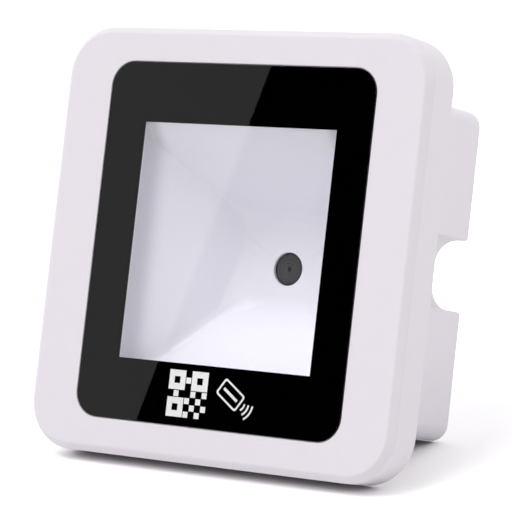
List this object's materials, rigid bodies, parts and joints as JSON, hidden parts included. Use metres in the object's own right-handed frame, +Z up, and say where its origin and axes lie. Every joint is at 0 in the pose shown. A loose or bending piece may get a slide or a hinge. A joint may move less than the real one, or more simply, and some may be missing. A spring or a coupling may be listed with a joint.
{
  "type": "fixed barcode reader",
  "caption": "Square white wall reader with a black-bordered glass window over a funnel and camera, and a tub behind it that goes into a switch box.",
  "frame": {"origin": "middle of the wall plane, halfway between the two wall screws, where the bezel's rim and the flange's back meet the wall", "axes": "+X to the right seen from the front, +Y from the front into the wall, +Z up"},
  "size_m": [0.086, 0.038, 0.086],
  "materials": {
    "white_shell": "fine moulded satin",
    "funnel_white": "smooth matt",
    "clear_glass": "polished",
    "black_ink": "printed behind glass",
    "white_ink": "printed behind glass",
    "foam": "fine foam",
    "tape": "matt",
    "board_green": "solder mask",
    "copper": "rolled",
    "amber_film": "film",
    "black_plastic": "matt",
    "lens_glass": "coated",
    "chip_black": "moulded",
    "sensor_dark": "polished",
    "emitter_white": "satin",
    "screw_steel": "plated",
    "can_metal": "satin",
    "ferrite": "pressed",
    "socket_ivory": "moulded",
    "contact_brass": "plated"
  },
  "bodies": {
    "root": {"front_bezel": "white_shell", "glass_panel": "clear_glass", "border_print": "black_ink", "icon_print": "white_ink", "glass_tape": "tape", "window_gasket": "foam", "reflector": "funnel_white", "reflector_screws": "screw_steel", "rear_housing": "white_shell", "antenna_board": "board_green", "antenna_coil": "copper", "antenna_ribbon": "amber_film", "antenna_socket": "socket_ivory", "main_board": "board_green", "board_screws": "screw_steel", "lens_mount": "black_plastic", "lens_barrel": "black_plastic", "front_lens": "lens_glass", "rear_lens": "lens_glass", "filter_glass": "lens_glass", "image_sensor": "sensor_dark", "light_emitters": "emitter_white", "processor_chip": "chip_black", "memory_chip": "chip_black", "radio_chip": "chip_black", "clock_crystal": "can_metal", "power_coil": "ferrite", "capacitors": "can_metal", "buzzer": "black_plastic", "cable_socket": "socket_ivory", "socket_pins": "contact_brass"}
  },
  "joints": []
}
